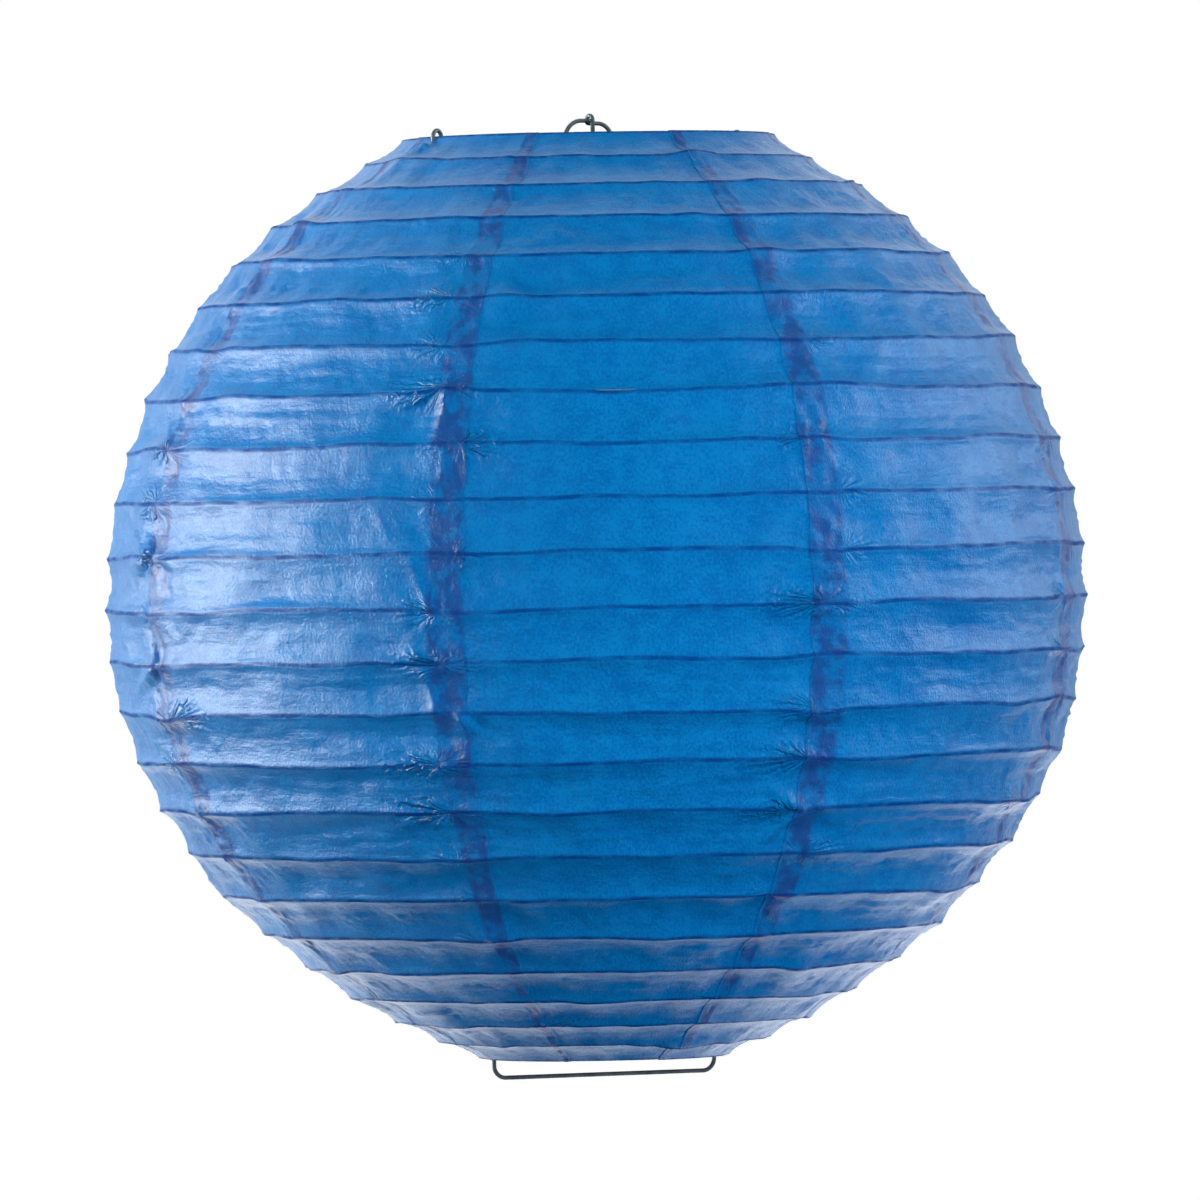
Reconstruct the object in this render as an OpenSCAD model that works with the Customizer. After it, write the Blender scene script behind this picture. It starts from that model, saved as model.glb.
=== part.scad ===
// Round paper lantern: a ribbed paper shade of eight gores on level wire hoops,
// held open by one bent wire frame that ends in a latched arch to hang it by.
// Millimetres, +Z up. The origin is under the top of the arch, where a hook bears.

/* [Shade] */
// Diameter of the rib circle at its widest
lantern_d = 400; // [320:5:480]
// Height of the ellipse above its widest circle
upper_h = 202.5; // [165:0.5:250]
// Depth of the ellipse below its widest circle
lower_h = 192; // [160:1:240]
// How far the paper's upper shoulder lies inside the ellipse
upper_slack = 4.5; // [0:0.5:6]
// How far the paper's lower shoulder lies inside the ellipse
lower_slack = 7; // [0:0.5:10]
// Number of rib hoops between the two rims
ribs = 22; // [16:1:26]
// Number of paper gores round the shade, always even
gores = 8; // [6:2:12]
// Angle of the first seam from the plane of the hanging wire, in degrees
seam_turn = 37.5; // [30:0.5:41]

/* [Paper] */
// Thickness of one paper layer
paper_t = 0.3; // [0.2:0.05:0.5]
// Width of a glued lap at a seam, in degrees round the shade
seam_deg = 4.3; // [2:0.1:6]
// Paper turned in over each rim wire
hem_lip = 0.8; // [0.3:0.1:1.2]

/* [Hoops] */
// Diameter of the circle of the top rim wire
top_rim_d = 151; // [125:1:190]
// Diameter of the circle of the bottom rim wire
bottom_rim_d = 102; // [85:1:124]
// Thickness of the rim wires
rim_wire_d = 1.8; // [1.4:0.1:2.4]
// Thickness of the rib wires
rib_wire_d = 0.8; // [0.6:0.1:1.2]

/* [Frame wire] */
// Thickness of the frame wire
wire_d = 1.8; // [1.4:0.1:2.4]
// Height of the hanging arch over the top rim
arch_h = 8; // [6:0.5:20]
// Half the width of the hanging arch
arch_r = 12.5; // [10:0.5:16]
// Length of the latch's tail below the top of its bend
tail_l = 9; // [6:0.5:10]
// Height over which the legs slope in from the top rim
flare_h = 28; // [24:1:32]
// Distance of the bottom bar below the bottom rim
bar_drop = 9; // [5:0.5:14]
// Bend radius at the bar's corners and along the legs
leg_bend = 5; // [3:0.5:7]
// Turn of the legs away from the plane of the arch, in degrees
leg_turn = 12; // [0:1:20]

/* [Fits] */
// Gap between a piece and what it seats on
seat_gap = 0.3; // [0.2:0.05:0.5]

/* [Hidden] */
$fn = 96;
// smallest bend that the frame wire takes, at its centre line
tight_bend = 2;
rim_r = rim_wire_d / 2;
rib_r = rib_wire_d / 2;
wire_r = wire_d / 2;
// where two lengths of frame wire pass side by side, their centres lie this far apart
side_by_side = wire_d + seat_gap;

// Latitudes of the two rims and the step between hoops, on the ellipse's circle
top_lat = acos(top_rim_d / lantern_d);
bottom_lat = -acos(bottom_rim_d / lantern_d);
lat_step = (top_lat - bottom_lat) / (ribs + 1);
// A shoulder's slack is greatest where this power of the latitude reaches a half
upper_power = 8;
lower_power = 2.5;

// The top rim lies this far below the origin, and the widest circle below that
rim_z = -(arch_h - wire_r);
middle_z = rim_z - upper_h * sin(top_lat);

function lat(k) = top_lat - k * lat_step;
function slack(a) = a > 0
    ? upper_slack * sin(180 * pow(a / top_lat, upper_power))
    : lower_slack * sin(180 * pow(a / bottom_lat, lower_power));
function hoop_r(k) = lantern_d / 2 * cos(lat(k)) - slack(lat(k));
function hoop_z(k) = middle_z + (lat(k) > 0 ? upper_h : lower_h) * sin(lat(k));
function hoop_at(k) = [hoop_r(k), hoop_z(k)];
bottom_z = hoop_z(ribs + 1);

// Unit normal of the paper at hoop k, halfway between those of the bands it joins
function unit(v) = v / norm(v);
function band_way(k) = unit(hoop_at(k + 1) - hoop_at(k));
function paper_way(k) = unit(band_way(max(k - 1, 0)) + band_way(min(k, ribs)));
function paper_out(k) = [-paper_way(k)[1], paper_way(k)[0]];
function wire_at(k) = k == 0 || k == ribs + 1 ? rim_r : rib_r;

// The paper's line at one distance outside its inner face, from hem to hem
function paper_at(k, off) = hoop_at(k) + paper_out(k) * (wire_at(k) + seat_gap + off);
function hem_at(k, off) = paper_at(k, off) - [hem_lip, 0];
function paper_line(off) = concat(
    [hem_at(0, off)],
    [for (k = [0 : ribs + 1]) paper_at(k, off)],
    [hem_at(ribs + 1, off)]
);
function reversed(list) = [for (i = [len(list) - 1 : -1 : 0]) list[i]];

// Odd gores are the inner layer and even gores the outer one, so each seam is a lap
gore_deg = 360 / gores;

// The ears go up through the paper just outside the top rim and come down inside it
ear_out_x = top_rim_d / 2 + rim_r + seat_gap + wire_r;
ear_in_x = ear_out_x - 3 * wire_d;
ear_gap = norm([ear_out_x - ear_in_x, side_by_side]);
ear_z = rim_z + wire_r + ear_gap / 2;
slit_r = wire_r + seat_gap;
crossbar_z = rim_z - rim_r - seat_gap - wire_r;
leg_x = bottom_rim_d / 2 - rim_r - seat_gap - wire_r;
leg_start_z = crossbar_z - wire_d;
leg_end_z = leg_start_z - flare_h;
bar_z = bottom_z - bar_drop;
// the two halves of the wire pass side by side on each side of this plane
half_y = side_by_side / 2;
arch_top_z = rim_z + arch_h;
latch_z = arch_top_z + side_by_side;
latch_end_z = arch_top_z - tight_bend / 2;
tail_y = -half_y - side_by_side;
// the arch's shoulders are as round as its width and height allow
plain_bend = min(arch_r - tight_bend / 2, arch_top_z - crossbar_z - tight_bend);
hooked_bend = min(arch_r - 2 * tight_bend, latch_end_z - crossbar_z - tight_bend);

function rib_name(k) = str("rib_hoop_", k < 10 ? "0" : "", k);
function gore_name(i) = str("paper_gore_", i);

paper_blue = [0.10, 0.35, 0.75];
wire_grey = [0.35, 0.40, 0.42];
rib_grey = [0.60, 0.62, 0.64];

// ---- wire along a line of points, with a round bend at each corner ----

// Sides of the frame wire, and steps in one of its bends
wire_sides = 12;
bend_steps = 5;

// Distance from a corner to where its bend starts
function turn_at(p, q, s) = acos(min(1, max(-1, unit(q - p) * unit(s - q))));
function bend_reach(p, q, s, bend) = bend * tan(turn_at(p, q, s) / 2);

// Points round one corner, each with the wire's way there
function bend_line(p, q, s, bend) =
    let (
        way_in = unit(q - p),
        turn = turn_at(p, q, s),
        side = unit(unit(s - q) - way_in * cos(turn)),
        centre = q - way_in * bend_reach(p, q, s, bend) + side * bend
    )
    [for (i = [0 : bend_steps])
        let (a = turn * i / bend_steps)
        [centre + bend * (way_in * sin(a) - side * cos(a)), way_in * cos(a) + side * sin(a)]];

// points is a list of [point, bend radius], whose first and last have no bend
function wire_line(points) =
    let (last = len(points) - 1)
    concat(
        [[points[0][0], unit(points[1][0] - points[0][0])]],
        [for (i = [1 : last - 1])
            each bend_line(points[i - 1][0], points[i][0], points[i + 1][0], points[i][1])],
        [[points[last][0], unit(points[last][0] - points[last - 1][0])]]
    );

// Where one bend runs straight into the next, the point they share is kept once
function kept(line) = [for (i = [0 : len(line) - 1])
    if (i == 0 || norm(line[i][0] - line[i - 1][0]) > 0.01) line[i]];

// A sideways direction for each point, each as near as can be to the one before
function sideways(line, i = 0, before = [1, 0, 0], found = []) =
    i == len(line)
    ? found
    : let (way = line[i][1], here = unit(before - way * (before * way)))
      sideways(line, i + 1, here, concat(found, [here]));

module bent_wire(points, r) {
    line = kept(wire_line(points));
    sides = sideways(line);
    rings = len(line);
    ring_points = [for (i = [0 : rings - 1], j = [0 : wire_sides - 1])
        let (a = 360 * j / wire_sides, up = cross(line[i][1], sides[i]))
        line[i][0] + r * (cos(a) * sides[i] + sin(a) * up)];
    walls = [for (i = [0 : rings - 2], j = [0 : wire_sides - 1])
        let (
            a = i * wire_sides + j,
            b = i * wire_sides + (j + 1) % wire_sides
        )
        each [[a, a + wire_sides, b], [b, a + wire_sides, b + wire_sides]]];
    start_cap = [[for (j = [0 : wire_sides - 1]) j]];
    end_cap = [[for (j = [wire_sides - 1 : -1 : 0]) (rings - 1) * wire_sides + j]];
    polyhedron(points = ring_points, faces = concat(start_cap, walls, end_cap));
}

// ---- the frame: one wire, from its plain end over the arch to its hooked end ----

// One side of the frame, from the foot of the arch to the bar's corner.
// way is 1 for the hooked side and -1 for the plain one, half a turn away.
function frame_side(way) = [
    [[way * arch_r, way * half_y, crossbar_z], tight_bend],
    [[way * ear_out_x, way * half_y, crossbar_z], tight_bend],
    [[way * ear_out_x, way * half_y, ear_z], ear_gap / 2],
    [[way * ear_in_x, -way * half_y, ear_z], ear_gap / 2],
    [[way * ear_in_x, -way * half_y, leg_start_z], leg_bend / 2],
    [[way * leg_x * cos(leg_turn), -way * leg_x * sin(leg_turn), leg_end_z], leg_bend],
    [[way * leg_x * cos(leg_turn), -way * leg_x * sin(leg_turn), bar_z], leg_bend]
];

plain_end = [
    [[wire_d, -half_y, arch_top_z], 0],
    [[-arch_r, -half_y, arch_top_z], plain_bend]
];
hooked_end = [
    [[0, tail_y, latch_z - tail_l], 0],
    [[0, tail_y, latch_z], side_by_side],
    [[0, half_y, latch_z], side_by_side],
    [[0, half_y, latch_end_z], tight_bend / 2],
    [[arch_r, half_y, latch_end_z], hooked_bend]
];

module expander_frame() {
    color(wire_grey)
        bent_wire(concat(hooked_end, frame_side(1), reversed(frame_side(-1)), reversed(plain_end)), wire_r);
}

// ---- hoops ----

module hoop(k) {
    translate([0, 0, hoop_z(k)])
        rotate_extrude() translate([hoop_r(k), 0]) circle(r = wire_at(k), $fn = 32);
}

module top_rim_hoop() { color(wire_grey) hoop(0); }
module bottom_rim_hoop() { color(wire_grey) hoop(ribs + 1); }
module rib_hoop(k) { color(rib_grey) hoop(k); }

// ---- paper ----

// Paper between two distances from its inner face, over a turn about the axis
module paper_turn(inner, outer, from_deg, to_deg) {
    rotate([0, 0, from_deg]) rotate_extrude(angle = to_deg - from_deg)
        polygon(concat(paper_line(outer), reversed(paper_line(inner))));
}

module ear_slits() {
    for (way = [1, -1])
        translate([way * ear_out_x, way * half_y, crossbar_z])
            cylinder(r = slit_r, h = ear_z - crossbar_z);
}

module paper_gore(i) {
    inner = i % 2 == 1 ? 0 : paper_t;
    middle_deg = seam_turn + (i - 0.5) * gore_deg;
    half_deg = (gore_deg + seam_deg) / 2;
    color(paper_blue) difference() {
        paper_turn(inner, inner + paper_t, middle_deg - half_deg, middle_deg + half_deg);
        ear_slits();
    }
}

expander_frame();
top_rim_hoop();
bottom_rim_hoop();
for (k = [1 : ribs]) rib_hoop(k);
for (i = [1 : gores]) paper_gore(i);
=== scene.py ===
"""Round ribbed paper lantern: paper gores, wire hoops and the bent wire frame, built round the packed model."""

import math

import bmesh
import bpy
import numpy as np
from mathutils import Matrix, Vector


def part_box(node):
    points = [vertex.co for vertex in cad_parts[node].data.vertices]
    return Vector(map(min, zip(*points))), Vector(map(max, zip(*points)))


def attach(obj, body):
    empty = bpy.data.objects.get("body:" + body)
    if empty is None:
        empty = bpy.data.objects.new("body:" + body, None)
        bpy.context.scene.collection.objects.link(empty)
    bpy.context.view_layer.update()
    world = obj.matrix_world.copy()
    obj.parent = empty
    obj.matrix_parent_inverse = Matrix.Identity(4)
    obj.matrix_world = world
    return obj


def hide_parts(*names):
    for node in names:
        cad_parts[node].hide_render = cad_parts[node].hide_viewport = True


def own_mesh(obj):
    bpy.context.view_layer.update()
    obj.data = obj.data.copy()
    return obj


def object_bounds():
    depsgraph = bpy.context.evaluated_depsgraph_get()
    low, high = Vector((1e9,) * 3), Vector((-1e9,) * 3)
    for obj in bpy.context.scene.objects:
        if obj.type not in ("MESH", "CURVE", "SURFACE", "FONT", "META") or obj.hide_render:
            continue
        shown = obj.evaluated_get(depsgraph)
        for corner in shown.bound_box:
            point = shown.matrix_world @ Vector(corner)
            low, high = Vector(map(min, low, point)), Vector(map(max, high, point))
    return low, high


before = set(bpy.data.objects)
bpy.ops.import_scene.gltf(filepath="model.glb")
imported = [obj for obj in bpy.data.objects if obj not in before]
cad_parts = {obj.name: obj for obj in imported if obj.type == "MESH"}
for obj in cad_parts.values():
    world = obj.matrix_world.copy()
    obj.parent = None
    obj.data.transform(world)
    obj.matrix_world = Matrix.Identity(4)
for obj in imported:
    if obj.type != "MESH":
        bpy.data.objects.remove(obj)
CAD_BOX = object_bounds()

bl_info = {
    "name": "Paper lantern",
    "version": (1, 0, 0),
    "blender": (4, 5, 0),
    "location": "View3D > Sidebar > Lantern",
    "description": "Models a round ribbed paper lantern on its wire hoops and frame",
    "category": "Add Mesh",
}

MM = 0.001
RIBS = sorted(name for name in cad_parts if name.startswith("rib_hoop_"))
GORES = sorted(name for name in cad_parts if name.startswith("paper_gore_"))
HOOPS = ["top_rim_hoop"] + RIBS + ["bottom_rim_hoop"]


def hoop_size(node):
    """Radius of a hoop's circle, its height and the radius of its wire."""
    low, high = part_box(node)
    wire = (high.z - low.z) / 2
    return (high.x - low.x) / 2 - wire, (high.z + low.z) / 2, wire


HOOP_SIZES = np.array([hoop_size(node) for node in HOOPS])
HOOP_LINE = HOOP_SIZES[:, :2]
HOOP_WIRE = HOOP_SIZES[:, 2]
TOP_Z, BOTTOM_Z = HOOP_LINE[0][1], HOOP_LINE[-1][1]
WIDEST = HOOP_LINE[:, 0].max()
MIDDLE_Z = (TOP_Z + BOTTOM_Z) / 2
PANELS = len(HOOPS) - 1
CHORDS = np.linalg.norm(np.diff(HOOP_LINE, axis=0), axis=1)
PITCH = CHORDS.mean()
GORE_TURN = 2 * math.pi / len(GORES)

# For each seam, the hoop round which its paper puckers most, and how much
SEAM_STRAIN = ((8, 0.8), (12, 0.9), (15, 0.8), (10.5, 1.1), (10, 1.5), (13.5, 1.25), (12, 1.0), (9, 0.8))


# ---------------------------------------------------------------- settings


class PaperSettings(bpy.types.PropertyGroup):
    """Sizes of the paper shade."""

    thickness: bpy.props.FloatProperty(
        name="Thickness", description="Thickness of one paper layer", default=0.09 * MM, unit="LENGTH")
    rest_gap: bpy.props.FloatProperty(
        name="Gap to the hoops", description="Space between a hoop and the paper over it", default=0.3 * MM, unit="LENGTH")
    layer_step: bpy.props.FloatProperty(
        name="Layer step", description="Distance between the two layers of a seam", default=0.17 * MM, unit="LENGTH")
    seam_turn: bpy.props.FloatProperty(
        name="First seam", description="Angle of the first seam's middle from +X", default=math.radians(37.5), unit="ROTATION")
    seam_width: bpy.props.FloatProperty(
        name="Seam width", description="Angle over which two gores lap", default=math.radians(4.3), unit="ROTATION")
    sag: bpy.props.FloatProperty(
        name="Sag", description="Depth of the hollow between two hoops at the widest", default=2.4 * MM, unit="LENGTH")
    pucker: bpy.props.FloatProperty(
        name="Pucker", description="Height of the folds that spread from the seams", default=1.3 * MM, unit="LENGTH")
    crinkle: bpy.props.FloatProperty(
        name="Crinkle", description="Height of the fine folds all over the paper", default=0.2 * MM, unit="LENGTH")
    waver: bpy.props.FloatProperty(
        name="Waver", description="How far a rib line strays from its hoop", default=0.7 * MM, unit="LENGTH")
    rows: bpy.props.IntProperty(
        name="Rows", description="Faces between two hoops", default=12, min=4)
    columns: bpy.props.IntProperty(
        name="Columns", description="Faces across one gore", default=156, min=16)


class WireSettings(bpy.types.PropertyGroup):
    """Sizes of the frame wire that its box doesn't give."""

    clearance: bpy.props.FloatProperty(
        name="Clearance", description="Gap between wires that pass each other", default=0.3 * MM, unit="LENGTH")
    arch_half_width: bpy.props.FloatProperty(
        name="Arch half width", description="Half the width of the hanging arch", default=12.5 * MM, unit="LENGTH")
    tail: bpy.props.FloatProperty(
        name="Tail", description="Length of the latch's tail below the top of its bend", default=9 * MM, unit="LENGTH")
    flare: bpy.props.FloatProperty(
        name="Flare", description="Height over which the legs slope in", default=28 * MM, unit="LENGTH")
    leg_bend: bpy.props.FloatProperty(
        name="Leg bend", description="Bend radius along the legs and at the bar", default=5 * MM, unit="LENGTH")
    tight_bend: bpy.props.FloatProperty(
        name="Tight bend", description="Smallest bend radius of the wire", default=2 * MM, unit="LENGTH")
    leg_turn: bpy.props.FloatProperty(
        name="Leg turn", description="Turn of the legs from the plane of the arch", default=math.radians(12), unit="ROTATION")


class ColourSettings(bpy.types.PropertyGroup):
    """Colours of the lantern."""

    paper: bpy.props.FloatVectorProperty(
        name="Paper", description="Dyed paper", default=(0.0015, 0.160, 0.50), subtype="COLOR")
    paper_pale: bpy.props.FloatVectorProperty(
        name="Paper, pale", description="Paper where the dye took less", default=(0.003, 0.235, 0.62), subtype="COLOR")
    # Also the base of the dark rib line, which is partly painted shade
    paper_deep: bpy.props.FloatVectorProperty(
        name="Paper, deep", description="Paper where two layers or glue lie", default=(0.014, 0.075, 0.31), subtype="COLOR")
    wire: bpy.props.FloatVectorProperty(
        name="Wire", description="Drawn steel wire", default=(0.22, 0.29, 0.32), subtype="COLOR")
    wire_dark: bpy.props.FloatVectorProperty(
        name="Wire, tarnished", description="Wire where it has dulled", default=(0.08, 0.115, 0.13), subtype="COLOR")


class StageSettings(bpy.types.PropertyGroup):
    """Camera and light."""

    turn: bpy.props.FloatProperty(
        name="Camera turn", description="Turn of the camera about the lantern", default=math.radians(-35), unit="ROTATION")
    rise: bpy.props.FloatProperty(
        name="Camera rise", description="Angle of the camera above the middle", default=math.radians(0.4), unit="ROTATION")
    roll: bpy.props.FloatProperty(
        name="Camera roll", description="Tilt of the lantern in the picture", default=math.radians(1.0), unit="ROTATION")
    distance: bpy.props.FloatProperty(
        name="Camera distance", description="Distance from the lantern's middle", default=5.0, unit="LENGTH")
    frame_width: bpy.props.FloatProperty(
        name="Frame width", description="Width of the view at the lantern", default=0.491, unit="LENGTH")
    key: bpy.props.FloatProperty(
        name="Side light", description="Power of the stronger side light, in watts", default=25)
    floor_drop: bpy.props.FloatProperty(
        name="Floor drop", description="Height of the lantern's lowest point over the floor", default=0.5, unit="LENGTH")


# ---------------------------------------------------------------- shader maths


class Number:
    """A number that varies over a surface. Arithmetic on it adds Math nodes."""

    def __init__(self, tree, socket):
        self.tree = tree
        self.socket = socket

    def maths(self, operation, first, second=0.0):
        node = self.tree.nodes.new("ShaderNodeMath")
        node.operation = operation
        for slot, value in zip(node.inputs, (first, second)):
            if isinstance(value, Number):
                self.tree.links.new(value.socket, slot)
            else:
                slot.default_value = value
        return Number(self.tree, node.outputs[0])

    def __add__(self, other):
        return self.maths("ADD", self, other)

    __radd__ = __add__

    def __sub__(self, other):
        return self.maths("SUBTRACT", self, other)

    def __rsub__(self, other):
        return self.maths("SUBTRACT", other, self)

    def __mul__(self, other):
        return self.maths("MULTIPLY", self, other)

    __rmul__ = __mul__

    def least(self, other):
        return self.maths("MINIMUM", self, other)


class Finish:
    """A material under construction."""

    def __init__(self, name):
        self.material = bpy.data.materials.new(name)
        self.material.use_nodes = True
        self.tree = self.material.node_tree
        self.shader = self.tree.nodes["Principled BSDF"]

    def node(self, kind, settings, sockets, output=0):
        """Adds a node, sets it up, fills its sockets with values or links, and returns one output."""
        node = self.tree.nodes.new(kind)
        for name, value in settings.items():
            setattr(node, name, value)
        for name, value in sockets.items():
            if isinstance(value, Number):
                self.tree.links.new(value.socket, node.inputs[name])
            else:
                node.inputs[name].default_value = value
        return Number(self.tree, node.outputs[output])

    def maths(self, operation, value):
        return self.node("ShaderNodeMath", {"operation": operation}, {0: value})

    def vector(self, operation, first, second=None, output=0):
        sockets = {0: first} if second is None else {0: first, 1: second}
        return self.node("ShaderNodeVectorMath", {"operation": operation}, sockets, output)

    def attribute(self, name):
        return self.node("ShaderNodeAttribute", {"attribute_name": name}, {}, "Fac")

    def place(self, output="Object", scale=(1, 1, 1), turn=(0, 0, 0)):
        coordinates = self.node("ShaderNodeTexCoord", {}, {}, output)
        return self.node("ShaderNodeMapping", {}, {"Vector": coordinates, "Scale": scale, "Rotation": turn})

    def noise(self, where, size, detail=2.0, roughness=0.5):
        sockets = {"Vector": where, "Scale": 1 / size, "Detail": detail, "Roughness": roughness}
        return self.node("ShaderNodeTexNoise", {}, sockets, "Fac")

    def ramp(self, value, low, high, start=0.0, end=1.0, kind="SMOOTHSTEP"):
        sockets = {"Value": value, "From Min": low, "From Max": high, "To Min": start, "To Max": end}
        return self.node("ShaderNodeMapRange", {"interpolation_type": kind}, sockets)

    def mix(self, amount, first, second):
        node = self.tree.nodes.new("ShaderNodeMix")
        node.data_type = "RGBA"
        for slot, value in ((0, amount), (6, first), (7, second)):
            if isinstance(value, Number):
                self.tree.links.new(value.socket, node.inputs[slot])
            else:
                node.inputs[slot].default_value = value if slot == 0 else (*value, 1)
        return Number(self.tree, node.outputs[2])

    def bump(self, height, strength, distance, under=None):
        sockets = {"Height": height, "Strength": strength, "Distance": distance}
        if under:
            sockets["Normal"] = under
        return self.node("ShaderNodeBump", {}, sockets)

    def cover(self, amount, **sockets):
        """Lays a second shader over the first, as far as the amount says."""
        over = self.tree.nodes.new("ShaderNodeBsdfPrincipled")
        both = self.tree.nodes.new("ShaderNodeMixShader")
        self.tree.links.new(amount.socket, both.inputs[0])
        self.tree.links.new(self.shader.outputs[0], both.inputs[1])
        self.tree.links.new(over.outputs[0], both.inputs[2])
        self.tree.links.new(both.outputs[0], self.tree.nodes["Material Output"].inputs["Surface"])
        self.feed(over, **sockets)

    def feed(self, shader=None, **sockets):
        """Links or sets sockets of a shader, whose names have _ for each space."""
        for name, value in sockets.items():
            slot = (shader or self.shader).inputs[name.replace("_", " ")]
            if isinstance(value, Number):
                self.tree.links.new(value.socket, slot)
            else:
                slot.default_value = value


def paper_finish(colours):
    """Dyed tissue: mottled, finely crinkled, darker where it is lapped or glued, with a dark line along each hoop that
    is partly glue and partly painted shade of the crease.
    """
    paper = Finish("dyed_paper")
    around = paper.place("UV", scale=(1, 0.8, 1))
    anywhere = paper.place("Object")
    mottle = paper.noise(anywhere, 7 * MM, 4)
    cloud = paper.noise(anywhere, 45 * MM, 2)
    fibre = paper.noise(around, 1.1 * MM, 3, 0.65)
    lap = paper.attribute("lap")
    rib_gap = paper.attribute("rib_gap")
    star = star_creases(paper)

    # Noise that breaks the rib line up along its length
    rib_line_breaks = paper.ramp(paper.noise(paper.place("UV", scale=(1, 3, 1)), 16 * MM, 3, 0.6), 0.3, 0.65, 0.25, 0.95)
    # Dark line along each hoop: partly the real glue line, partly painted shade of the crease over the wire
    rib_shade_and_glue = paper.ramp(rib_gap, 0.35 * MM, 1.25 * MM, 1, 0) * rib_line_breaks
    glue = paper.ramp(rib_gap + mottle * (2.4 * MM), 1.4 * MM, 3.4 * MM, 0.25, 0)
    patch = paper.ramp(paper.noise(anywhere, 9 * MM, 4, 0.65), 0.40, 0.58, 0.25, 1.0)
    pale = (fibre - 0.5) * 5.0 + (mottle - 0.5) * 2.2 + (cloud - 0.5) * 1.2 + 0.5
    colour = paper.mix(pale, tuple(colours.paper), tuple(colours.paper_pale))
    colour = paper.mix(lap * patch * 0.85 + glue * 0.6, colour, tuple(colours.paper_deep))
    # Colour of that line, from the deep paper colour: glue tone and painted shade
    rib_shade_and_glue_colour = (*(c * share for c, share in zip(colours.paper_deep, (0.1, 0.55, 0.75))), 1)
    grain = paper.bump(fibre + paper.noise(around, 2.6 * MM, 3, 0.6) * 0.6, 1.0, 0.35 * MM)
    level = paper.place("UV", scale=(0.16, 1, 1))
    wrinkles = paper.bump(paper.noise(level, 5 * MM, 3, 0.55), 0.6, 1.0 * MM, grain)
    paper.feed(
        Base_Color=colour,
        Roughness=paper.ramp(mottle + lap * 0.1, 0.3, 0.9, 0.46, 0.38, "LINEAR"),
        Normal=paper.bump(star, 1.0, 1.0 * MM, wrinkles),
        Specular_IOR_Level=1.0,
    )
    # Lays the rib line over the paper; its zero specular also paints out the highlight along it
    paper.cover(rib_shade_and_glue * 0.85, Base_Color=rib_shade_and_glue_colour, Roughness=0.8, Specular_IOR_Level=0.0)
    return paper.material


def star_creases(paper):
    """Height, in millimetres, of the sharp creases that run out from each crossing of a seam and a hoop."""
    aside = paper.attribute("cross_x") * (0.55 / MM)
    along = paper.attribute("cross_y") * (1 / MM)
    flat = paper.node("ShaderNodeCombineXYZ", {}, {"X": aside, "Y": along, "Z": 0.0})
    away = paper.vector("LENGTH", flat, output="Value")
    way = paper.vector("NORMALIZE", flat)
    bent = paper.noise(paper.place("UV"), 6 * MM, 2)
    seed = paper.node("ShaderNodeCombineXYZ", {}, {"X": bent * 1.0, "Y": 0.0, "Z": paper.attribute("cross_seed")})
    rays = paper.noise(paper.vector("ADD", way, seed), 1 / 2.1, 1.2, 0.5)
    crest = 1 - paper.maths("ABSOLUTE", (rays - 0.5) * 5.0).least(1.0)
    return crest * away.least(6.0) * paper.attribute("cross_pull").least(2.2) * 0.21


def wire_finish(name, colours, shade):
    """Drawn steel wire with faint draw lines and dull patches."""
    steel = Finish(name)
    where = steel.place("Object")
    tarnish = steel.ramp(steel.noise(where, 9 * MM, 3, 0.6), 0.35, 0.7)
    scratch = steel.noise(where, 0.5 * MM, 2)
    colour = steel.mix(
        tarnish * 0.6, tuple(c * shade for c in colours.wire), tuple(c * shade for c in colours.wire_dark))
    steel.feed(
        Base_Color=colour,
        Metallic=0.45,
        Roughness=steel.ramp(tarnish + scratch * 0.4, 0, 1.3, 0.3, 0.5, "LINEAR"),
        Normal=steel.bump(scratch, 0.25, 0.05 * MM),
    )
    return steel.material


# ---------------------------------------------------------------- paper shape


def smooth_noise(seed, x, y, size_x, size_y, waves=14):
    """Waves of about one size, added up at random phases: zero on average, about -1 to 1."""
    random = np.random.default_rng(seed)
    total = np.zeros(np.broadcast(x, y).shape)
    for _ in range(waves):
        way = random.uniform(0, 2 * math.pi)
        length = random.uniform(0.7, 1.5)
        phase = random.uniform(0, 2 * math.pi)
        kx = round_trip(2 * math.pi * math.cos(way) / (size_x * length))
        ky = 2 * math.pi * math.sin(way) / (size_y * length)
        total += np.sin(kx * x + ky * y + phase)
    return total * math.sqrt(2 / waves) * 0.6


def round_trip(wave_number):
    """The nearest wave number that meets itself after one turn, for distances at the widest hoop."""
    return round(wave_number * WIDEST) / WIDEST


def paper_line(sizes, layer):
    """The paper's corner over each hoop, as (radius, height), and each panel's outward normal."""
    step = np.diff(HOOP_LINE, axis=0)
    step /= np.linalg.norm(step, axis=1)[:, None]
    ways = np.vstack([step[:1], step[1:] + step[:-1], step[-1:]])
    ways /= np.linalg.norm(ways, axis=1)[:, None]
    outward = np.column_stack([-ways[:, 1], ways[:, 0]])
    off = HOOP_WIRE + sizes.rest_gap + layer * sizes.layer_step
    corners = HOOP_LINE + outward * off[:, None]
    return corners, outward


def strain(seam, hoop):
    """How hard the paper is pulled where a seam crosses a hoop, about 0 to 1.5."""
    middle, most = SEAM_STRAIN[seam % len(SEAM_STRAIN)]
    return most * (0.22 + 0.78 * math.exp(-((hoop - middle) / 5.5) ** 2))


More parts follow.
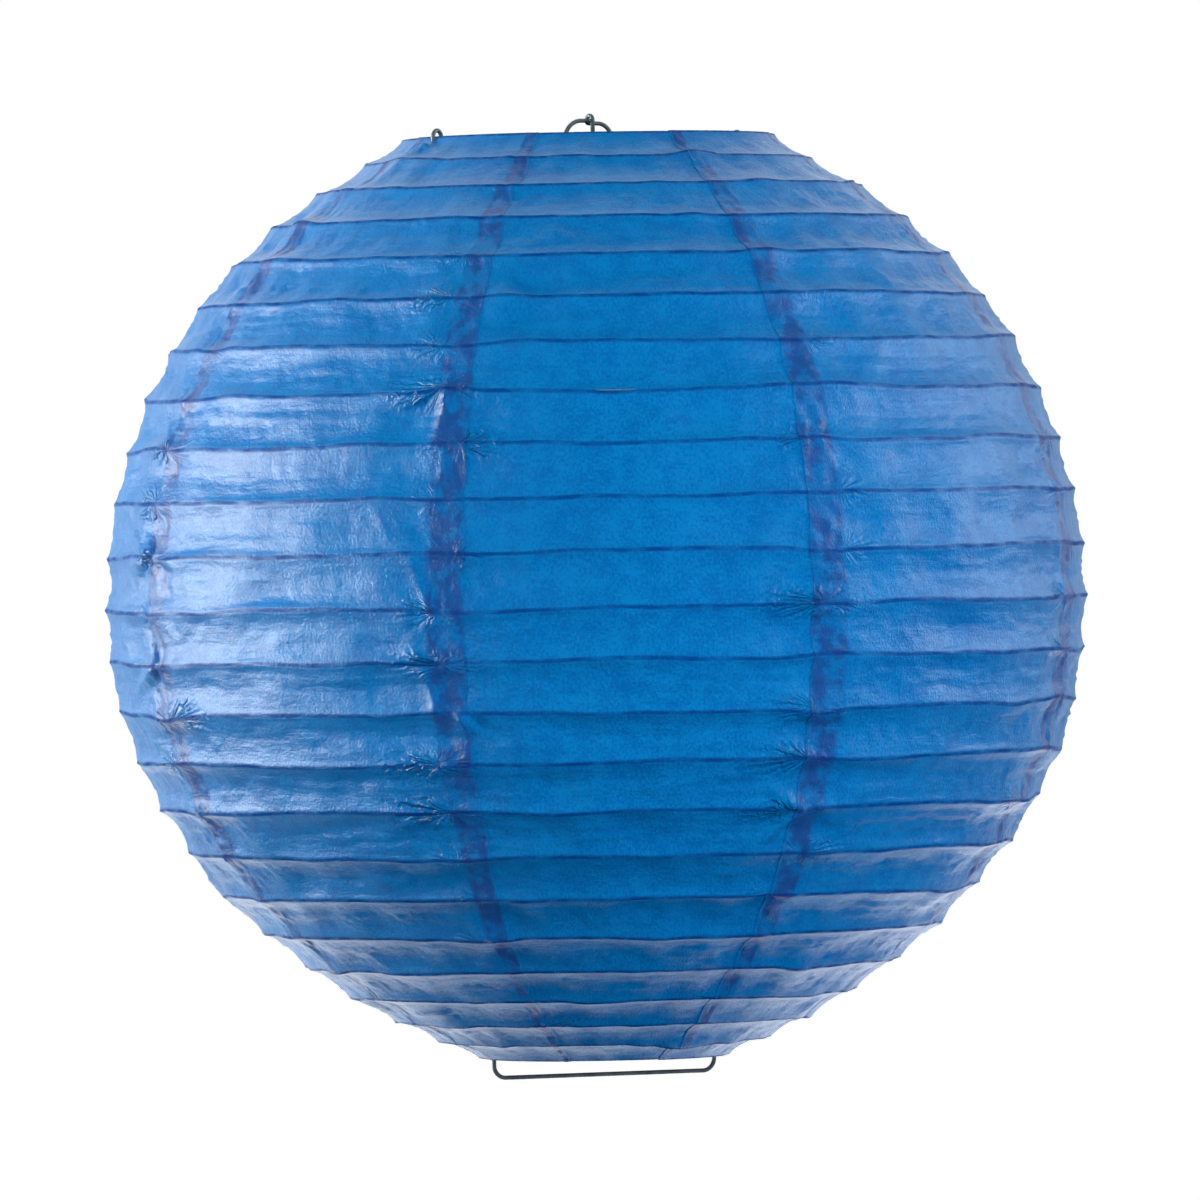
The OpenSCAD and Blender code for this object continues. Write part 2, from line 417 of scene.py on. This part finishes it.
def folds(sizes):
    """Every fold that runs out from a seam: its angle, hoop, way, length, width and height."""
    random = np.random.default_rng(11)
    found = []
    for seam in range(len(GORES)):
        middle = sizes.seam_turn + seam * GORE_TURN
        for hoop in range(1, PANELS):
            strength = random.gamma(2.2, 0.45) * strain(seam, hoop)
            for edge, share in ((-1, 1.0), (1, 0.55)):
                for _ in range(random.integers(3, 6)):
                    slant = random.normal(0, 0.8)
                    found.append((
                        middle + edge * sizes.seam_width * random.uniform(0.0, 0.5),
                        hoop + random.uniform(-0.06, 0.06), edge * math.cos(slant), math.sin(slant),
                        random.uniform(6, 17) * MM * (0.6 + 0.5 * strength),
                        random.uniform(1.0, 2.2) * MM,
                        sizes.pucker * strength * share * random.uniform(-0.8, 1.0)))
    for ear in (0, math.pi):
        for slant in np.linspace(-1.1, 1.1, 9):
            found.append((
                ear + random.uniform(-0.02, 0.02), 0.25, math.sin(slant), math.cos(slant),
                random.uniform(10, 20) * MM, random.uniform(0.9, 1.4) * MM, sizes.pucker * random.uniform(0.5, 0.9)))
    return found


def fold_heights(sizes, angle, rib):
    """Height of the paper's folds over angle and rib coordinate, both as grids."""
    total = np.zeros(np.broadcast(angle, rib).shape)
    for at, from_rib, way_x, way_y, length, width, height in folds(sizes):
        apart = (angle - at + math.pi) % (2 * math.pi) - math.pi
        radius = np.interp(from_rib, np.arange(len(HOOPS)), HOOP_LINE[:, 0])
        columns = np.abs(apart[:, 0]) * radius < 4 * length
        rows = np.abs(rib[0] - from_rib) * PITCH < 4 * length
        if not columns.any() or not rows.any():
            continue
        window = np.ix_(columns, rows)
        x = (apart * radius)[columns]
        y = (rib[:, rows] - from_rib) * PITCH
        x, y = np.broadcast_arrays(x, y)
        along = x * way_x + y * way_y
        aside = x * way_y - y * way_x
        spread = width + 0.07 * np.maximum(along, 0)
        rise = 1 - np.exp(-np.maximum(along, 0) / (1.2 * MM))
        total[window] += height * rise * np.exp(-((np.maximum(along, 0) / length) ** 1.5)) * np.exp(-np.abs(aside / spread) ** 1.5)
    return total


def gore_points(sizes, number):
    """The points of one gore as a grid (columns, rows, 3), what its finish needs to know of each, and its flat map."""
    layer = number % 2
    first = sizes.seam_turn + number * GORE_TURN - sizes.seam_width / 2
    share = np.linspace(-1, 1, sizes.columns + 1)
    share = np.sign(share) * (1 - (1 - np.abs(share)) ** 1.35)
    angle = (first + (GORE_TURN + sizes.seam_width) * (share + 1) / 2)[:, None]
    rib = np.linspace(0, PANELS, PANELS * sizes.rows + 1)[None, :]
    corners, outward = paper_line(sizes, layer)
    panel = np.minimum(rib[0].astype(int), PANELS - 1)
    part = rib[0] - panel

    def between(values):
        first, second = values[panel], values[panel + 1]
        return first + (second - first) * part.reshape(-1, *[1] * (values.ndim - 1))

    radius, height = between(corners).T
    side = between(outward)
    side /= np.linalg.norm(side, axis=1)[:, None]
    lift, notes = paper_lift(sizes, angle, rib, part)
    drift = rib_drift(sizes, angle, rib)
    lift = lift + 0.15 * MM + 0.5 * np.abs(drift)
    turned = angle + seam_sway(sizes, angle, rib) / np.maximum(radius[None, :], 0.05)
    out = radius[None, :] + lift * side[None, :, 0]
    up = height[None, :] + lift * side[None, :, 1] + drift * np.abs(side[None, :, 0])
    hems = [hem_rows(sizes, layer, end, out[:, end], up[:, end]) for end in (0, -1)]
    out = np.hstack([hems[0][0], out, hems[1][0]])
    up = np.hstack([hems[0][1], up, hems[1][1]])
    turned = pad_rows(turned)
    around = (angle - first) * WIDEST + 0 * rib
    flat = np.stack([pad_rows(around), pad_rows(rib * PITCH + 0 * angle)], axis=2)
    grid = np.stack([out * np.cos(turned), out * np.sin(turned), up], axis=2)
    return grid, {name: pad_rows(note) for name, note in notes.items()}, flat


def pad_rows(values):
    """Repeats the first and the last row for the hems."""
    return np.pad(values, ((0, 0), (HEM_ROWS, HEM_ROWS)), mode="edge")


def hem_rows(sizes, layer, end, out, up):
    """Radius and height of the rows that fold over a rim wire, in the order of the grid's rows."""
    rim_radius, rim_height = HOOP_LINE[end]
    top = end == 0
    start = np.arctan2(up - rim_height, out - rim_radius)
    last = math.radians(185) if top else -math.radians(150)
    share = np.arange(1, HEM_ROWS + 1) / HEM_ROWS
    way = start[:, None] + (last - start[:, None]) * share
    begin = np.hypot(up - rim_height, out - rim_radius)[:, None]
    reach = begin + (HOOP_WIRE[end] + 0.12 * MM + layer * 0.14 * MM - begin) * share ** 0.7
    rows = rim_radius + reach * np.cos(way), rim_height + reach * np.sin(way)
    return [row[:, ::-1] if top else row for row in rows]


HEM_ROWS = 6


def crossing(sizes, angle, rib):
    """Distance round and along from the nearest place where a seam crosses a hoop, and that place's numbers."""
    seam = np.round((angle - sizes.seam_turn) / GORE_TURN)
    hoop = np.clip(np.round(rib), 0, PANELS)
    radius = np.interp(rib[0], np.arange(len(HOOPS)), HOOP_LINE[:, 0])[None, :]
    aside = (angle - sizes.seam_turn - seam * GORE_TURN) * radius
    along = (rib - hoop) * PITCH + 0 * angle
    return aside, along, seam.astype(int) % len(GORES) + 0 * hoop.astype(int), hoop.astype(int) + 0 * seam.astype(int)


def rib_drift(sizes, angle, rib):
    """How far each rib line wanders up or down."""
    x, y = angle * WIDEST, rib * PITCH
    aside, along, seam, hoop = crossing(sizes, angle, rib)
    random = np.random.default_rng(41)
    jog = random.normal(0, 0.9 * MM, (len(GORES), len(HOOPS)))[seam, hoop]
    wander = smooth_noise(22, x, y, 110 * MM, 34 * MM) + 0.5 * smooth_noise(23, x, y, 38 * MM, 18 * MM)
    near = np.exp(-(aside / (11 * MM)) ** 2) * np.cos(np.clip(along / PITCH, -0.5, 0.5) * math.pi) ** 2
    return (sizes.waver * wander + jog * near) * edge_fade(rib, PANELS)


def paper_lift(sizes, angle, rib, part):
    """How far the paper stands out from the straight line between hoops, and the notes for its finish."""
    x, y = angle * WIDEST, rib * PITCH
    near_rib = np.minimum(part, 1 - part)[None, :]
    free = (4 * part * (1 - part))[None, :]
    band = np.interp(rib, (0, 4, 0.6 * PANELS, PANELS), (0.8, 1, 1, 0.45)) * sizes.seam_width
    lap = np.clip((band / 2 - seam_distance(sizes, angle)) / (0.15 * band) + 0.5, 0, 1)
    aside, along, seam, hoop = crossing(sizes, angle, rib)
    calm = np.interp(rib, (0, 5, 0.7 * PANELS, PANELS), (0.35, 1, 1, 0.35))
    crinkle = sizes.crinkle * calm
    slack = 0.35 * smooth_noise(3, x, y, 90 * MM, 60 * MM) + 0.25 * smooth_noise(4, x, y, 30 * MM, 40 * MM)
    hollow = sizes.sag * (1 + calm * slack)
    hollow = hollow * (CHORDS[np.minimum(rib[0].astype(int), PANELS - 1)] / CHORDS.max())[None, :]
    crease = smooth_noise(5, x, y, 17 * MM, 6 * MM, 18)
    fine = smooth_noise(8, x, y, 8 * MM, 4.5 * MM, 22)
    long_crease = np.clip(1 - np.abs(smooth_noise(12, x, y, 150 * MM, 9 * MM, 12)) * 2.4, 0, 1)
    short_crease = np.clip(1 - np.abs(smooth_noise(13, x, y, 48 * MM, 13 * MM, 14)) * 2.8, 0, 1)
    patch = np.clip(0.5 + smooth_noise(14, x, y, 60 * MM, 40 * MM), 0, 1)
    fold = fold_heights(sizes, angle, rib)
    lumps = lap * smooth_noise(9, x, y, 7 * MM, 9 * MM, 16)
    lift = (
        -hollow * free ** 0.8
        + crinkle * (1 - np.abs(crease) * 1.6) * free
        + 0.5 * crinkle * fine * (0.3 + 0.7 * free)
        + 3.0 * crinkle * long_crease * free
        + 2.0 * crinkle * short_crease * patch * free
        + fold * (0.3 + 0.7 * np.clip(near_rib * PITCH / (1.5 * MM), 0, 1))
        + 0.3 * MM * lumps * (0.35 + 0.65 * free)
    )
    notes = {"lap": lap + 0 * rib, "rib_gap": near_rib * PITCH + 0 * angle}
    notes.update(star_notes(sizes, aside, along, seam, hoop))
    return lift, notes


def star_notes(sizes, aside, along, seam, hoop):
    """Where each point lies from the middle of its star of creases, and how strong the creases are there."""
    random = np.random.default_rng(43)
    table = (len(GORES), len(HOOPS))
    pull = np.array([[strain(s, h) for h in range(len(HOOPS))] for s in range(len(GORES))])
    pull = np.clip(pull * random.gamma(4.0, 0.4, table), 0, 2.6)[seam, hoop]
    lean = random.choice((-1, 1), table, p=(0.72, 0.28))[seam, hoop]
    shift = random.uniform(0.1, 0.55, table)[seam, hoop] * lean * sizes.seam_width * WIDEST
    rise = random.normal(0, 0.8 * MM, table)[seam, hoop]
    window = np.cos(np.clip(np.abs(along) / (0.41 * PITCH), 0, 1) * math.pi / 2) ** 1.2
    x, y = aside - shift, along - rise
    away = np.hypot(x * 0.6, y)
    reach = np.clip(away / ((1.5 + 7 * pull) * MM), 0, 1)
    side = 0.25 + 0.75 * np.clip(0.5 + 0.9 * lean * x / np.maximum(np.hypot(x, y), 0.1 * MM), 0, 1)
    return {
        "cross_x": x,
        "cross_y": y,
        "cross_seed": (seam * 7.31 + hoop * 3.17) * 1.0,
        "cross_pull": pull * (1 - reach ** 1.3) * window * side,
    }


def seam_sway(sizes, angle, rib):
    """How far the paper near each seam strays sideways, as a length."""
    random = np.random.default_rng(31)
    total = 0
    for seam in range(len(GORES)):
        apart = (angle - sizes.seam_turn - seam * GORE_TURN + math.pi) % (2 * math.pi) - math.pi
        shifts = random.normal(0, 0.75 * MM, len(HOOPS) * 2)
        sway = np.interp(rib * 2, np.arange(len(shifts)), shifts) * np.clip(rib, 0, 1) * np.clip(len(HOOPS) - 1 - rib, 0, 1)
        total = total + sway * np.exp(-(apart / 0.09) ** 2)
    return total


def seam_distance(sizes, angle):
    """Angle to the nearest seam's middle."""
    apart = (angle - sizes.seam_turn) % GORE_TURN
    return np.minimum(apart, GORE_TURN - apart)


def edge_fade(rib, panels):
    """Falls to nothing at the two rims, where the paper is held level."""
    return np.clip(np.minimum(rib, panels - rib), 0, 1)


def make_gore(number, sizes, finish):
    """One strip of paper, spun from its profile and then pulled to its folds."""
    grid, notes, flat = gore_points(sizes, number)
    columns, rows = grid.shape[:2]
    span = GORE_TURN + sizes.seam_width
    sheet = bmesh.new()
    line = [sheet.verts.new(point) for point in grid[0]]
    edges = [sheet.edges.new(pair) for pair in zip(line, line[1:])]
    bmesh.ops.spin(
        sheet, geom=line + edges, cent=(0, 0, 0), axis=(0, 0, 1), dvec=(0, 0, 0),
        angle=span, steps=columns - 1, use_merge=False, use_duplicate=False)
    mesh = bpy.data.meshes.new(f"gore_{number + 1}")
    sheet.to_mesh(mesh)
    sheet.free()
    order = spin_order(mesh, columns, rows)
    points = grid.reshape(-1, 3)[order]
    mesh.vertices.foreach_set("co", points.astype(np.float32).ravel())
    for name, values in notes.items():
        layer = mesh.attributes.new(name, "FLOAT", "POINT")
        layer.data.foreach_set("value", values.reshape(-1)[order].astype(np.float32))
    corner_vertex = np.zeros(len(mesh.loops), np.int32)
    mesh.loops.foreach_get("vertex_index", corner_vertex)
    uv = mesh.uv_layers.new(name="sheet")
    uv.data.foreach_set("uv", flat.reshape(-1, 2)[order][corner_vertex].astype(np.float32).ravel())
    mesh.update()
    middle = mesh.polygons[len(mesh.polygons) // 2]
    if middle.normal.dot(Vector((middle.center.x, middle.center.y, 0))) < 0:
        mesh.flip_normals()
    mesh.polygons.foreach_set("use_smooth", np.ones(len(mesh.polygons), bool))
    gore = bpy.data.objects.new(f"gore_{number + 1}", mesh)
    bpy.context.scene.collection.objects.link(gore)
    mesh.materials.append(finish)
    wall = gore.modifiers.new("paper", "SOLIDIFY")
    wall.thickness = sizes.thickness
    wall.offset = -1
    return gore


def spin_order(mesh, columns, rows):
    """For each vertex of a spun mesh, its place in a grid of columns and rows."""
    if len(mesh.vertices) != columns * rows:
        raise RuntimeError(f"the spin made {len(mesh.vertices)} points, not {columns * rows}")
    return np.arange(columns * rows)


# ---------------------------------------------------------------- wire shape


def bend_points(before, corner, after, bend, steps=10):
    """Points of the round bend that replaces one corner of a wire's line."""
    way_in = (corner - before).normalized()
    way_out = (after - corner).normalized()
    turn = way_in.angle(way_out)
    side = (way_out - way_in * math.cos(turn)).normalized()
    start = corner - way_in * bend * math.tan(turn / 2)
    centre = start + side * bend
    for step in range(steps + 1):
        a = turn * step / steps
        yield centre + bend * (way_in * math.sin(a) - side * math.cos(a))


def frame_corners(wire):
    """The frame wire's corners, each with its bend radius, from the hooked end round to the plain end."""
    low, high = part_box("expander_frame")
    thick = (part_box("top_rim_hoop")[1].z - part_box("top_rim_hoop")[0].z)
    wire_r = WIRE_R
    beside = 2 * wire_r + wire.clearance
    half = beside / 2
    arch_top = high.z - wire_r - beside
    hook_top = arch_top + beside
    crossbar = TOP_Z - thick / 2 - wire.clearance - wire_r
    ear_out = HOOP_LINE[0][0] + thick / 2 + wire.clearance + wire_r
    ear_in = ear_out - 6 * wire_r
    ear_gap = math.hypot(ear_out - ear_in, beside)
    ear_top = TOP_Z + wire_r + ear_gap / 2
    leg = HOOP_LINE[-1][0] - thick / 2 - wire.clearance - wire_r
    leg_start = crossbar - 2 * wire_r
    bar = low.z + wire_r
    leg_x, leg_y = leg * math.cos(wire.leg_turn), leg * math.sin(wire.leg_turn)
    arch = wire.arch_half_width
    tight = wire.tight_bend

    def side(way):
        return [
            ((way * arch, way * half, crossbar), tight),
            ((way * ear_out, way * half, crossbar), tight),
            ((way * ear_out, way * half, ear_top), ear_gap / 2),
            ((way * ear_in, -way * half, ear_top), ear_gap / 2),
            ((way * ear_in, -way * half, leg_start), wire.leg_bend / 2),
            ((way * leg_x, -way * leg_y, leg_start - wire.flare), wire.leg_bend),
            ((way * leg_x, -way * leg_y, bar), wire.leg_bend),
        ]

    hooked_end = [
        ((0, -half - beside, hook_top - wire.tail), 0),
        ((0, -half - beside, hook_top), beside),
        ((0, half, hook_top), beside),
        ((0, half, arch_top - tight / 2), tight / 2),
        ((arch, half, arch_top - tight / 2), min(arch - 2 * tight, arch_top - crossbar - 1.5 * tight)),
    ]
    plain_end = [
        ((-arch, -half, arch_top), min(arch - tight / 2, arch_top - crossbar - tight)),
        ((2 * wire_r, -half, arch_top), 0),
    ]
    return hooked_end + side(1) + side(-1)[::-1] + plain_end


def frame_line(wire):
    """The middle line of the frame wire, as close points."""
    corners = [(Vector(point), float(bend)) for point, bend in frame_corners(wire)]
    line = [corners[0][0]]
    for (before, _), (corner, bend), (after, _) in zip(corners, corners[1:], corners[2:]):
        line.extend(bend_points(before, corner, after, bend))
    line.append(corners[-1][0])
    close = [line[0]]
    for point in line[1:]:
        if (point - close[-1]).length > 0.02 * MM:
            close.append(point)
    return close


WIRE_R = 0.9 * MM


def sweep(name, line, radius, sides=20):
    """A round wire along a line of points, extruded ring by ring, with eased ends."""
    tube = bmesh.new()
    ways = [(b - a).normalized() for a, b in zip(line, line[1:])]
    tangents = [ways[0]] + [(a + b).normalized() for a, b in zip(ways, ways[1:])] + [ways[-1]]
    aside = tangents[0].orthogonal().normalized()
    ease = 0.35 * radius
    stops = [(line[0], tangents[0], radius - ease)]
    stops += [(line[0] + tangents[0] * ease, tangents[0], radius)]
    stops += [(point, way, radius) for point, way in zip(line[1:-1], tangents[1:-1])]
    stops += [(line[-1] - tangents[-1] * ease, tangents[-1], radius)]
    stops += [(line[-1], tangents[-1], radius - ease)]
    ring = []
    for point, way, size in stops:
        aside = (aside - way * aside.dot(way)).normalized()
        spot = Matrix.Translation(point) @ Matrix((aside, way.cross(aside), way)).transposed().to_4x4()
        made = bmesh.ops.create_circle(tube, cap_ends=False, segments=sides, radius=size, matrix=spot)["verts"]
        if ring:
            both = [e for v in ring + made for e in v.link_edges if e.is_boundary or e.is_wire]
            bmesh.ops.bridge_loops(tube, edges=list(set(both)))
        else:
            bmesh.ops.contextual_create(tube, geom=made)
        ring = made
    bmesh.ops.contextual_create(tube, geom=ring)
    bmesh.ops.recalc_face_normals(tube, faces=tube.faces)
    mesh = bpy.data.meshes.new(name)
    tube.to_mesh(mesh)
    tube.free()
    mesh.polygons.foreach_set("use_smooth", np.ones(len(mesh.polygons), bool))
    piece = bpy.data.objects.new(name, mesh)
    bpy.context.scene.collection.objects.link(piece)
    return piece


# ---------------------------------------------------------------- operators


class LANTERN_OT_gores(bpy.types.Operator):
    """Make the paper gores"""

    bl_idname = "lantern.gores"
    bl_label = "Paper gores"

    def execute(self, context):
        sizes = context.scene.lantern_paper
        finish = paper_finish(context.scene.lantern_colours)
        for number, node in enumerate(GORES):
            gore = make_gore(number, sizes, finish)
            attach(gore, "hanging_frame")
            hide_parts(node)
            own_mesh(gore)
        return {"FINISHED"}


class LANTERN_OT_hoops(bpy.types.Operator):
    """Finish the rib hoops and the rims"""

    bl_idname = "lantern.hoops"
    bl_label = "Hoops"

    def execute(self, context):
        colours = context.scene.lantern_colours
        rib_wire = wire_finish("rib_wire", colours, 1.5)
        rim_wire = wire_finish("rim_wire", colours, 1.0)
        for name in HOOPS:
            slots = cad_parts[name].material_slots
            for slot in slots:
                slot.material = rib_wire if name in RIBS else rim_wire
        return {"FINISHED"}


class LANTERN_OT_frame_wire(bpy.types.Operator):
    """Make the bent wire frame"""

    bl_idname = "lantern.frame_wire"
    bl_label = "Frame wire"

    def execute(self, context):
        scene = context.scene
        piece = sweep("frame_wire", frame_line(scene.lantern_wire), WIRE_R)
        piece.data.materials.append(wire_finish("frame_wire", scene.lantern_colours, 1.0))
        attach(piece, "hanging_frame")
        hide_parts("expander_frame")
        return {"FINISHED"}


def area_light(name, place, target, size, power, colour=(1, 1, 1)):
    """A square soft light that faces a point."""
    data = bpy.data.lights.new(name, "AREA")
    data.shape = "RECTANGLE"
    data.size, data.size_y = size
    data.energy = power
    data.color = colour
    lamp = bpy.data.objects.new(name, data)
    lamp.location = place
    lamp.rotation_euler = (target - place).to_track_quat("-Z", "Y").to_euler()
    bpy.context.scene.collection.objects.link(lamp)
    return lamp


STUDIO = (
    ("left_light", -1.68, 0.07, 1.6, (1.0, 0.9), 1.22),
    ("right_light", 1.80, 0.26, 1.6, (0.9, 0.9), 0.34),
    ("top_light", math.pi, 0.72, 1.8, (2.0, 1.6), 0.48),
    ("bottom_light", math.pi, -0.64, 1.8, (2.0, 1.3), 0.85),
    ("back_light", math.pi, 0.0, 1.6, (3.0, 2.0), 0.6),
    ("front_light", 0.0, 0.62, 3.0, (2.0, 2.0), 2.8),
    ("low_light", 0.75, -0.5, 3.0, (2.0, 2.0), 2.15),
)


def around_middle(turn, rise, distance):
    """A point at a turn and a rise from the lantern's middle; turn 0 is in front, along -Y."""
    way = Vector((math.sin(turn) * math.cos(rise), -math.cos(turn) * math.cos(rise), math.sin(rise)))
    return Vector((0, 0, MIDDLE_Z)) + way * distance


class LANTERN_OT_stage(bpy.types.Operator):
    """Set up the camera, the floor and the lights"""

    bl_idname = "lantern.stage"
    bl_label = "Stage"

    def execute(self, context):
        scene = context.scene
        stage = scene.lantern_stage
        middle = Vector((0, 0, MIDDLE_Z))
        self.camera(scene, stage, middle)
        self.floor(stage)
        turn = stage.turn
        for name, around, rise, distance, size, power in STUDIO:
            area_light(name, around_middle(turn + around, rise, distance), middle, size, stage.key * power)
        bpy.data.objects["low_light"].data.color = (1, 0.9, 1)
        for name in ("front_light", "low_light"):
            lamp = bpy.data.objects[name]
            lamp.visible_glossy = False
            lamp.data.cycles.use_multiple_importance_sampling = False
        self.world(scene)
        return {"FINISHED"}

    def camera(self, scene, stage, middle):
        data = bpy.data.cameras.new("camera")
        data.sensor_width = 36
        data.lens = data.sensor_width * stage.distance / stage.frame_width
        data.clip_end = 50
        data.shift_x, data.shift_y = 0.003, -0.003
        camera = bpy.data.objects.new("camera", data)
        place = around_middle(stage.turn, stage.rise, stage.distance)
        aim = (middle - place).to_track_quat("-Z", "Y").to_matrix().to_4x4()
        camera.matrix_world = Matrix.Translation(place) @ aim @ Matrix.Rotation(-stage.roll, 4, "Z")
        scene.collection.objects.link(camera)
        scene.camera = camera

    def floor(self, stage):
        mesh = bpy.data.meshes.new("floor")
        plane = bmesh.new()
        ground = Matrix.Translation((0, 0, CAD_BOX[0].z - stage.floor_drop))
        bmesh.ops.create_grid(plane, x_segments=1, y_segments=1, size=30, matrix=ground)
        plane.to_mesh(mesh)
        plane.free()
        floor = bpy.data.objects.new("floor", mesh)
        floor.visible_diffuse = floor.visible_glossy = floor.visible_shadow = False
        bpy.context.scene.collection.objects.link(floor)
        white = Finish("floor_white")
        white.feed(Base_Color=(0.9, 0.9, 0.9, 1), Roughness=0.9, Emission_Color=(1, 1, 1, 1), Emission_Strength=1.0)
        mesh.materials.append(white.material)

    def world(self, scene):
        """White to the eye, and no light."""
        world = bpy.data.worlds.new("studio")
        world.use_nodes = True
        tree = world.node_tree
        sky = tree.nodes["Background"]
        sky.inputs["Color"].default_value = (1, 1, 1, 1)
        seen = Number(tree, tree.nodes.new("ShaderNodeLightPath").outputs["Is Camera Ray"])
        tree.links.new((seen * 1.0).socket, sky.inputs["Strength"])
        scene.world = world
        scene.view_settings.view_transform = "Standard"


STEPS = (LANTERN_OT_stage, LANTERN_OT_gores, LANTERN_OT_hoops, LANTERN_OT_frame_wire)
SETTINGS = {
    "lantern_paper": PaperSettings,
    "lantern_wire": WireSettings,
    "lantern_colours": ColourSettings,
    "lantern_stage": StageSettings,
}


class LANTERN_PT_panel(bpy.types.Panel):
    """The lantern's steps and sizes"""

    bl_idname = "LANTERN_PT_panel"
    bl_label = "Paper lantern"
    bl_space_type = "VIEW_3D"
    bl_region_type = "UI"
    bl_category = "Lantern"

    def draw(self, context):
        for step in STEPS:
            self.layout.operator(step.bl_idname)
        for name, group in SETTINGS.items():
            box = self.layout.box()
            box.label(text=group.__doc__)
            for size in group.__annotations__:
                box.prop(getattr(context.scene, name), size)


def register():
    for group in SETTINGS.values():
        bpy.utils.register_class(group)
    for name, group in SETTINGS.items():
        setattr(bpy.types.Scene, name, bpy.props.PointerProperty(type=group))
    for step in STEPS:
        bpy.utils.register_class(step)
    bpy.utils.register_class(LANTERN_PT_panel)


def unregister():
    bpy.utils.unregister_class(LANTERN_PT_panel)
    for step in reversed(STEPS):
        bpy.utils.unregister_class(step)
    for name, group in SETTINGS.items():
        delattr(bpy.types.Scene, name)
        bpy.utils.unregister_class(group)


def main():
    register()
    bpy.ops.lantern.stage()
    bpy.ops.lantern.gores()
    bpy.ops.lantern.hoops()
    bpy.ops.lantern.frame_wire()
    bpy.context.view_layer.update()


if __name__ == "__main__":
    main()
